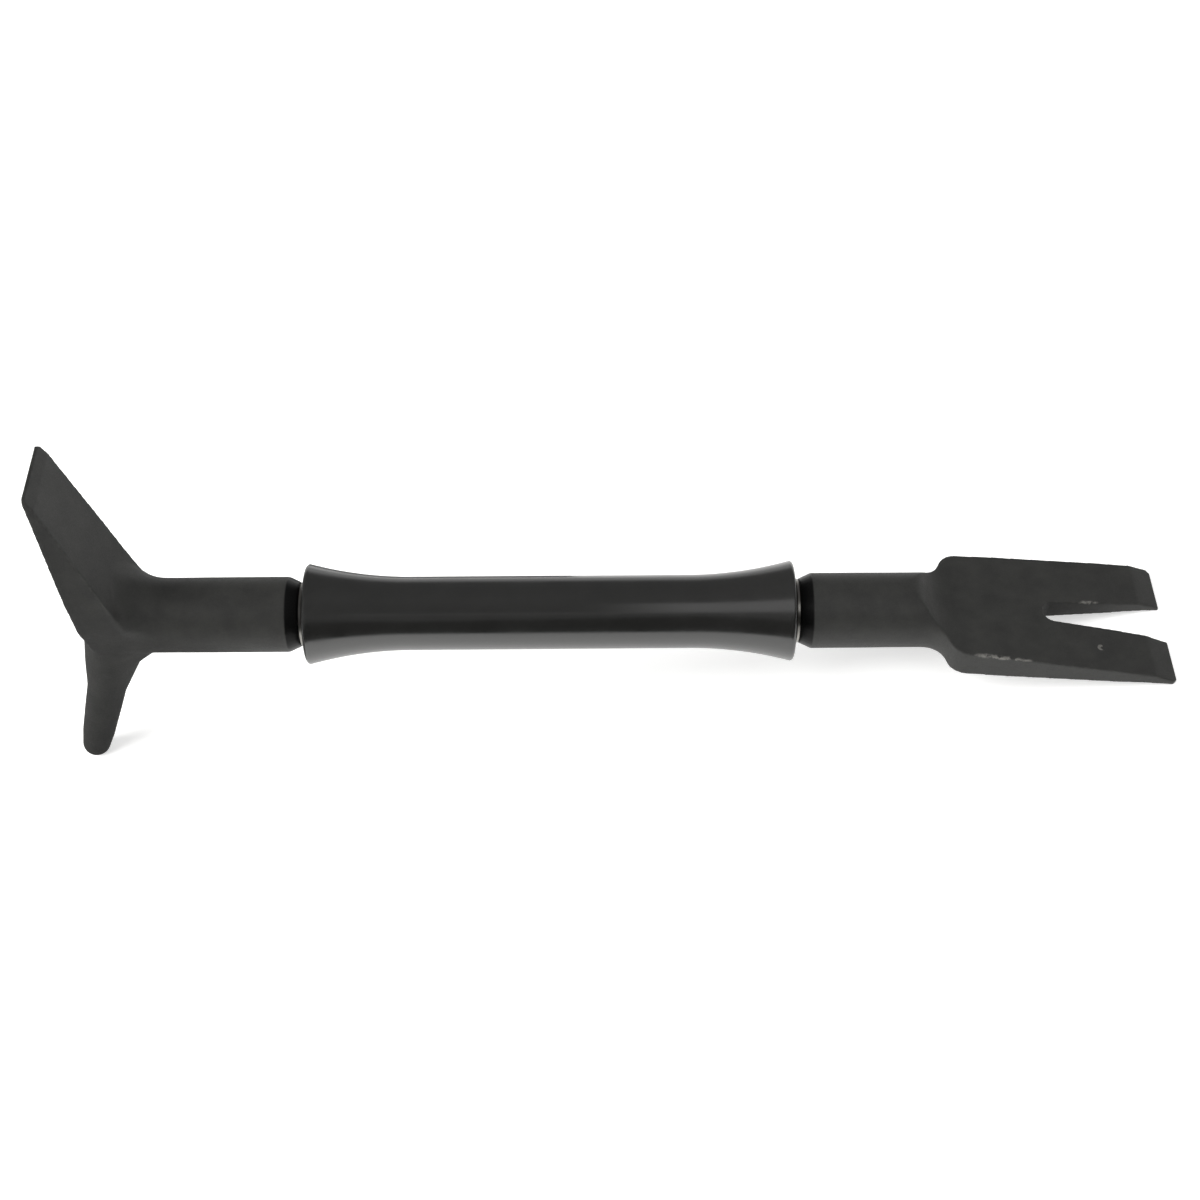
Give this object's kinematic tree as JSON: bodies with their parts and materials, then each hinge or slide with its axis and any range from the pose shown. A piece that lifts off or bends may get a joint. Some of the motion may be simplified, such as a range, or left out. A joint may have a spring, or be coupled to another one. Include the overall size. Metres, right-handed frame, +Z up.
{
  "type": "halligan bar",
  "caption": "Forcible-entry bar with a slotted wedge fork, an opposed adze and round pike, forged in blackened steel, and a flared grip sleeve along its middle.",
  "frame": {"origin": "middle of the bounding box, on the surface that the bar lies on", "axes": "+X along the bar toward the fork, +Y across it, +Z up; the bar lies on the pike's nose and the fork tips with the adze up"},
  "size_m": [0.6396, 0.082, 0.2371],
  "materials": {
    "forged_steel": "forged and black oxidised, satin",
    "grip_polymer": "moulded, satin",
    "bare_steel": "turned",
    "tube_steel": "drawn",
    "pin_steel": "ground"
  },
  "bodies": {
    "root": {"adze_pike_head": "forged_steel", "fork_head": "forged_steel", "core_tube": "tube_steel", "grip_sleeve": "grip_polymer", "head_collar": "bare_steel", "fork_collar": "bare_steel", "head_pin_outer": "pin_steel", "head_pin_inner": "pin_steel", "fork_pin_outer": "pin_steel", "fork_pin_inner": "pin_steel"}
  },
  "joints": []
}
